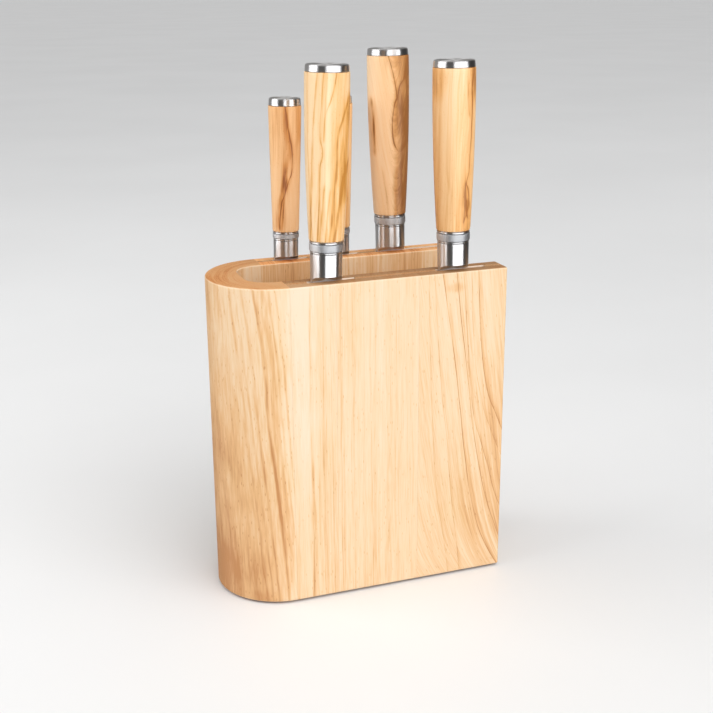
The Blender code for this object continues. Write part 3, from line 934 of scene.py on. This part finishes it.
def knife_piece(knife, part, ending, bm, material):
    """One finished piece of a knife, in the place of the CAD node of that part."""
    node, body = f"{knife.name}_{part}", knife.name + "_knife"
    return finish_mesh(f"{knife.name}_{ending}", bm, material, node, body, knife.matrix)


def build_forging(knife, polished, satin):
    """Bolster, blade and tang: one piece of steel, polished above the blade and satin on it."""
    shape = BLADES[knife.name]
    forging = FORGINGS[shape.size]
    tip, tang_end = knife.found["blade"][:2]
    blade = mesh_object("flat_steel", blade_mesh(shape, tip / MM, tang_end / MM))
    bolster = mesh_object("bolster_steel", bolster_mesh(forging))
    scoops = [(mesh_object(f"scoop_{side}", scoop_mesh(forging, side)), "DIFFERENCE") for side in (-1, 1)]
    bm = combined(bolster, scoops + [(blade, "UNION")])
    for face in bm.faces:
        face.material_index = 0 if face.calc_center_median().z > NECK_Z * MM else 1
    piece = knife_piece(knife, "blade", "forging", bm, polished)
    piece.data.materials.append(satin)


# Outlines of a knife's rings and collar, going up, as (inset in mm, share of height).
BEAD_SHARES = [i / 8 for i in range(9)]
BEAD = [(0.45 - 0.45 * math.sin(math.pi * share), share) for share in BEAD_SHARES]
COLLAR = ((0.6, 0.0), (0.12, 0.03), (0.0, 0.08), (0.0, 0.5), (0.0, 0.92), (0.12, 0.97), (0.6, 1.0))
RING = (
    (1.2, 0.0), (1.2, 0.12), (0.3, 0.14), (0.05, 0.25), (0.0, 0.5), (0.05, 0.7), (0.3, 0.8), (1.2, 0.82),
    (1.2, 1.0),
)
GROOVE_DEPTH = 1.5 * MM


def build_sleeve(knife, part, material, shape):
    """A ring or collar round the tang, with a groove at each end."""
    low, high, radius = knife.found[part]
    rim = CAD_GAP / 2
    neck = radius - GROOVE_DEPTH
    profile = [(neck, low - rim), (neck, low)]
    profile += [(radius - inset * MM, low + (high - low) * share) for inset, share in shape]
    profile += [(neck, high), (neck, high + rim), (BORE_RADIUS, high + rim), (BORE_RADIUS, low - rim)]
    knife_piece(knife, part, part + "_turned", turned(profile, closed=True), material)


# Where up a handle it is widest, as a share of its height, and how sharply it swells to there.
HANDLE_SWELL = {"large": (0.87, 1.9), "small": (1.0, 1.1)}
HANDLE_EDGE = 0.5 * MM
CAP_POCKET_RADIUS = 5.3 * MM
CAP_POCKET_DEPTH = 3.3 * MM
TANG_CLEARANCE = 1 * MM


def handle_side(size, found):
    """Radius and height up the handle's outside."""
    low, high, widest = found["handle"]
    base = found["handle_base"]
    peak, power = HANDLE_SWELL[size]
    points = []
    for i in range(HANDLE_RINGS + 1):
        share = i / HANDLE_RINGS
        swell = 1 - abs(1 - share / peak) ** power
        points.append((base + (widest - base) * swell, low + (high - low) * share))
    return points


def build_handle(knife, material):
    """A turned handle with eased ends, a bore for the tang and a pocket for the cap's stub."""
    side = handle_side(BLADES[knife.name].size, knife.found)
    (foot, low), (head, high) = side[0], side[-1]
    ease = HANDLE_EDGE
    bore_top = knife.found["blade"][1] + TANG_CLEARANCE
    pocket_floor = high - CAP_POCKET_DEPTH
    profile = [(0, bore_top), (BORE_RADIUS, bore_top), (BORE_RADIUS, low)]
    profile += [(foot - ease, low), (foot - 0.3 * ease, low + 0.3 * ease), (foot, low + ease)]
    profile += [point for point in side if low + 1.5 * ease < point[1] < high - 1.5 * ease]
    profile += [(head, high - ease), (head - 0.3 * ease, high - 0.3 * ease), (head - ease, high)]
    profile += [(CAP_POCKET_RADIUS, high), (CAP_POCKET_RADIUS, pocket_floor), (0, pocket_floor)]
    knife_piece(knife, "handle", "handle_turned", turned(profile), material)


CAP_STUB_RADIUS = 5.0 * MM
CAP_LIP = 0.25 * MM
CAP_DISH = 0.16 * MM
# From the cap's side over its bevelled rim to its dished top: inset and depth below the top, in mm.
CAP_RIM = ((0.3, 0.75), (0.42, 0.5), (0.75, 0.12), (1.0, 0.0), (1.35, 0.0), (1.6, 0.12))


def build_cap(knife, material):
    """A polished cap: a stub in the handle, an undercut, tapering sides, a bevelled rim, a dished top."""
    low, high, radius = knife.found["end_cap"]
    base = knife.found["cap_base"]
    lip = base - CAP_LIP
    profile = [(0, low), (CAP_STUB_RADIUS, low), (CAP_STUB_RADIUS, lip), (radius - 1.0 * MM, lip)]
    profile += [(radius - 1.0 * MM, base), (radius - 0.12 * MM, base), (radius, base + 0.15 * MM)]
    profile += [(radius - inset * MM, high - below * MM) for inset, below in CAP_RIM]
    profile += [(radius * 0.4, high - CAP_DISH), (0, high - CAP_DISH)]
    knife_piece(knife, "end_cap", "end_cap_turned", turned(profile), material)


# The handles' dark veins, each from bottom to top, and their stains, for handle_marks.
PARING_VEINS = (
    (((22, -3.6), (40, -2.4), (48, 0), (58, 3), (67, 5.4), (77, 5.5), (86, 4.3), (97, 2.4), (125, -1)),
     0.6, 0.46),
    (((18, -4.6), (38, -4.2), (50, -2), (60, 0), (72, 1.6)), 2.4, 0.34),
    (((20, -2.4), (44, -0.4), (60, 1.8)), 0.9, 0.3),
    (((60, 1.5), (80, 2.6), (97, 1.6), (125, 0)), 4.4, 0.24),
)
CHEF_VEINS = (
    (((74, 6.4), (77, 4.6), (84, 2.7), (92, 2.2), (101, 2.9), (112, 6)), 0.8, 0.44),
    (((74, 7.6), (76, 9.6), (82, 11.9), (97, 13.2), (112, 13.6)), 0.9, 0.4),
    (((110, 5.8), (121, 4.6), (131, 2.6), (150, -3.4)), 0.6, 0.36),
    (((112, 6.6), (118, 7.4), (126, 11.2), (150, 15.4)), 0.9, 0.3),
    (((26, -1), (50, -3.4), (64, -6)), 1.4, 0.16),
    (((70, -10.2), (92, -10.8), (112, -12.4)), 1.2, 0.6),
    (((20, 10), (60, 12), (150, 13.4)), 0.6, 0.24),
)
CARVING_VEINS = (
    (((20, -5.6), (58, -4.4), (77, -3.9), (87, -2.3), (96, -3.9), (115, -3), (130, -2.1), (150, 0.6)),
     0.7, 0.34),
    (((20, -10.4), (77, -9.1), (106, -8.2), (125, -6.8), (150, -4.4)), 0.8, 0.28),
    (((20, -8), (68, -11), (115, -12.4), (150, -10.6)), 0.7, 0.22),
    (((92, -1.6), (108, -0.7), (120, 3.1), (130, 5.5), (150, 7.8)), 0.7, 0.3),
    (((20, 1.8), (58, 5), (77, 6.9), (94, 7.3), (108, 10.6), (124, 15.2)), 1.2, 0.36),
    (((20, 4), (49, 8.3), (65, 10.2), (84, 15.6)), 1.4, 0.46),
    (((20, -4.6), (40, -3.2), (66, -1)), 0.9, 0.24),
    (((20, -1), (44, 0.8), (62, 2.6)), 0.7, 0.22),
    (((50, 13), (80, 11), (100, 13), (126, 16)), 3, 0.24),
)
BREAD_VEINS = (
    (((34, 6), (42, 8.6), (50, 9.8), (60, 8)), 0.5, 0.46),
    (((36, 10.2), (46, 7.6), (54, 7.2), (70, 9.6), (150, 12.2)), 0.7, 0.34),
    (((104, 9.4), (115, 8.6), (128, 8)), 0.6, 0.26),
)
BREAD_STAINS = (
    (8.8, 46, 3, 6, 0.3), (5.5, 34, 7, 56, 0.24), (-11, 130, 8, 20, 0.26), (13, 128, 8, 24, 0.36),
)
CHEF_STAINS = ((8, 98, 6, 24, 0.36), (9, 24, 10, 66, 0.4), (4, 146, 16, 30, 0.2))


def handle_woods():
    """Each handle's own piece of olive wood."""
    # left and right paint shade on each handle's edges, as the viewer sees them.
    return {
        "carving": olive_wood("carving", CREAM, 300, straight_figure(-45, 2, -12), wander=1.8,
                              contrast=0.55, right=0.16, veins=CARVING_VEINS),
        "bread": olive_wood("bread", ORANGE, 320, straight_figure(-50, 4), contrast=0.5,
                            tone=-0.04, fall=0.22, left=0.34, right=0.27, veins=BREAD_VEINS,
                            stains=BREAD_STAINS),
        "chef": olive_wood("chef", PINK, 340, cathedral_figure(6.2, 5.6, 0.2), wander=1.0,
                           contrast=0.32, tone=-0.02, left=-0.12, right=0.5, veins=CHEF_VEINS,
                           stains=CHEF_STAINS),
        "utility": olive_wood("utility", ORANGE, 360, straight_figure(40, -3, 20)),
        "paring": olive_wood("paring", RED, 380, straight_figure(-46, 3, 6), contrast=0.6,
                             tone=-0.04, right=0.1, veins=PARING_VEINS),
    }


def build_knives():
    bright = turned_steel("polished_stainless", (0.84, 0.84, 0.85), 0.36, 200, 0.98, 0.5)
    satin_blade = brushed_steel("satin_blade_steel", (0.52, 0.53, 0.54), 0.4, 210, (8, 8, 0.16))
    satin_collar = turned_steel("satin_collar_steel", (0.75, 0.765, 0.79), 0.6, 220, 0.3, 1.0)
    woods = handle_woods()
    for name in BLADES:
        matrix = knife_frame(name)
        knife = Knife(name, matrix, spans(name, matrix))
        build_forging(knife, bright, satin_blade)
        build_sleeve(knife, "lower_ring", bright, BEAD)
        build_sleeve(knife, "collar", satin_collar, COLLAR)
        build_sleeve(knife, "upper_ring", bright, RING)
        build_handle(knife, woods[name])
        build_cap(knife, bright)


# ======== the studio
def studio_floor():
    g = Graph("floor_finish")
    here = g.join(*g.millimetres())
    mottle = g.noise(here, (400, 400, 400), 900, 3.0)
    colour = g.mix((mottle + 0.5).above(0.2, 0.8), (0.78, 0.775, 0.765), (0.81, 0.805, 0.795))
    bm = bmesh.new()
    bmesh.ops.create_grid(bm, x_segments=1, y_segments=1, size=60.0)
    floor = mesh_object("studio_floor", bm)
    floor.data.materials.append(g.finish(colour, 0.55))
    floor.visible_glossy = False


def way_out(azimuth, elevation=0.0):
    """From the block towards a place. Azimuth 0 is straight out of the front face, and +X is above 0."""
    level = math.cos(elevation)
    return Vector((math.sin(azimuth) * level, -math.cos(azimuth) * level, math.sin(elevation)))


def softbox(name, azimuth, distance, width, low, high, strength):
    """An upright softbox that faces the block."""
    light = bpy.data.lights.new(name, "AREA")
    light.shape = "RECTANGLE"
    light.size, light.size_y = width, high - low
    light.energy = strength * width * (high - low) * math.pi
    lamp = new_object(name, light)
    back = way_out(math.radians(azimuth))
    lamp.location = back * distance + Vector((0, 0, (low + high) / 2))
    lamp.rotation_euler = back.to_track_quat("Z", "Y").to_euler()
    lamp.visible_camera = False


def soft_sun(strength):
    """Even light from above, the same over the whole floor."""
    light = bpy.data.lights.new("soft_sun", "SUN")
    light.energy = strength
    light.angle = math.radians(70)
    lamp = new_object("soft_sun", light)
    lamp.rotation_euler = (math.radians(28), math.radians(14), 0.0)
    lamp.visible_glossy = False


AMBIENT, BACKDROP = 0.36, 0.62
MIRRORED, MIRRORED_BEHIND, MIRRORED_OVERHEAD = 0.05, 0.25, 0.5


def surroundings():
    """The room: soft grey light; in reflections, dark beside the softboxes, paler overhead and behind."""
    world = bpy.data.worlds.new("studio")
    world.use_nodes = True
    world.node_tree.nodes.clear()
    g = Nodes(world.node_tree)
    ray = g.node("LightPath").outputs
    way = g.split(g.node("TexCoord").outputs["Generated"])
    paler = way[2].above(0.5, 0.95) * MIRRORED_OVERHEAD + way[1].above(0.35, 0.85) * MIRRORED_BEHIND
    mirror = g.node("Background", {0: (1.0, 0.97, 0.93, 1.0), 1: paler + MIRRORED})
    ambient = g.node("Background", {0: (0.92, 0.95, 1.0, 1.0), 1: AMBIENT})
    backdrop = g.node("Background", {0: (0.94, 0.95, 0.96, 1.0), 1: BACKDROP})
    room = g.node("MixShader", {0: ray["Is Camera Ray"], 1: ambient.outputs[0], 2: backdrop.outputs[0]})
    whole = g.node("MixShader", {0: ray["Is Glossy Ray"], 1: room.outputs[0], 2: mirror.outputs[0]})
    g.node("OutputWorld", {0: whole.outputs[0]})
    bpy.context.scene.world = world


# Name, azimuth in degrees, then in metres distance, width, bottom and top, then strength. The floor hides
# the low ones, but not from reflections: seen from above, upright steel mirrors what is below it.
SOFTBOXES = (
    ("front_softbox", 16, 3.0, 5.1, 0.3, 3.8, 1.62),
    ("front_low_softbox", 16, 3.0, 5.1, -2.4, 0.0, 3.0),
    ("left_softbox", -99, 1.5, 1.5, 0.45, 1.9, 2.7),
    ("left_low_softbox", -99, 1.5, 1.5, -1.2, 0.0, 2.4),
)


def build_studio():
    studio_floor()
    for box in SOFTBOXES:
        softbox(*box)
    soft_sun(1.6)
    surroundings()
    bpy.context.scene.view_settings.view_transform = "Standard"


def build_camera():
    back = way_out(VIEW_AZIMUTH, VIEW_ELEVATION)
    data = bpy.data.cameras.new("camera")
    data.sensor_width = SENSOR
    data.lens = LENS
    camera = new_object("camera", data)
    look = back.to_track_quat("Z", "Y").to_matrix().to_4x4()
    place = Matrix.Translation(VIEW_TARGET + back * VIEW_DISTANCE)
    camera.matrix_world = place @ look @ Matrix.Rotation(VIEW_ROLL, 4, "Z")
    bpy.context.scene.camera = camera


build_camera()
build_studio()
build_block()
build_knives()
